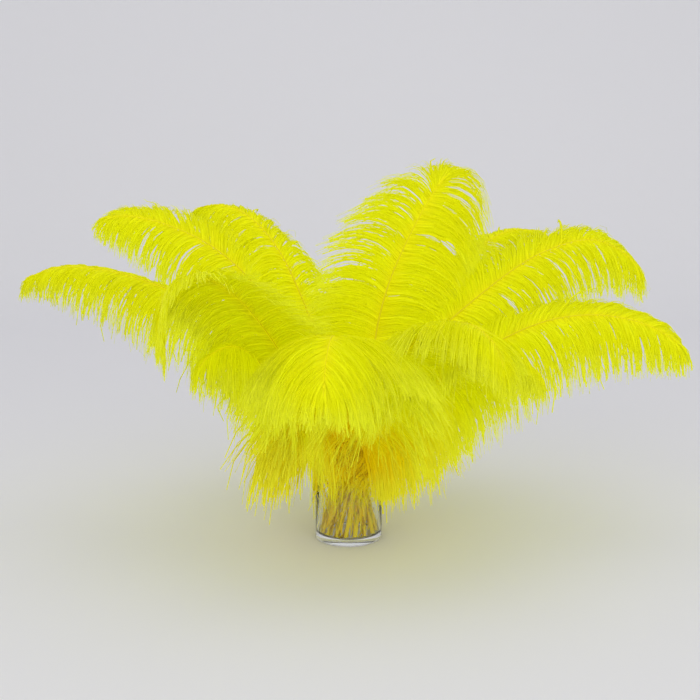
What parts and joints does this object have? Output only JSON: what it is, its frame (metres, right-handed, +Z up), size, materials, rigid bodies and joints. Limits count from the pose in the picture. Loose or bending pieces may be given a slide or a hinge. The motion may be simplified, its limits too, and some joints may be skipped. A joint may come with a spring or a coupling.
{
  "type": "ostrich feather",
  "caption": "Bunch of long lemon-yellow dyed ostrich plumes that arch out on all sides from a short clear glass cylinder vase.",
  "frame": {"origin": "centre of the vase's underside", "axes": "+Z up along the vase's axis; the widest spread of the plumes lies along X, and the picture looks along +Y, a little from above"},
  "size_m": [0.9751, 0.645, 0.545],
  "materials": {
    "clear_glass": "polished clear",
    "yellow_plume": "matte, dyed lemon yellow, fine and downy"
  },
  "bodies": {
    "root": {"vase": "clear_glass", "plume_front": "yellow_plume", "plume_left_front": "yellow_plume", "plume_right_front": "yellow_plume", "plume_top": "yellow_plume", "plume_left": "yellow_plume", "plume_left_high": "yellow_plume", "plume_right": "yellow_plume", "plume_right_high": "yellow_plume", "plume_left_back": "yellow_plume", "plume_right_back": "yellow_plume", "plume_right_low": "yellow_plume", "plume_left_low": "yellow_plume", "plume_back_left": "yellow_plume", "plume_back_right": "yellow_plume", "plume_back": "yellow_plume"}
  },
  "joints": []
}
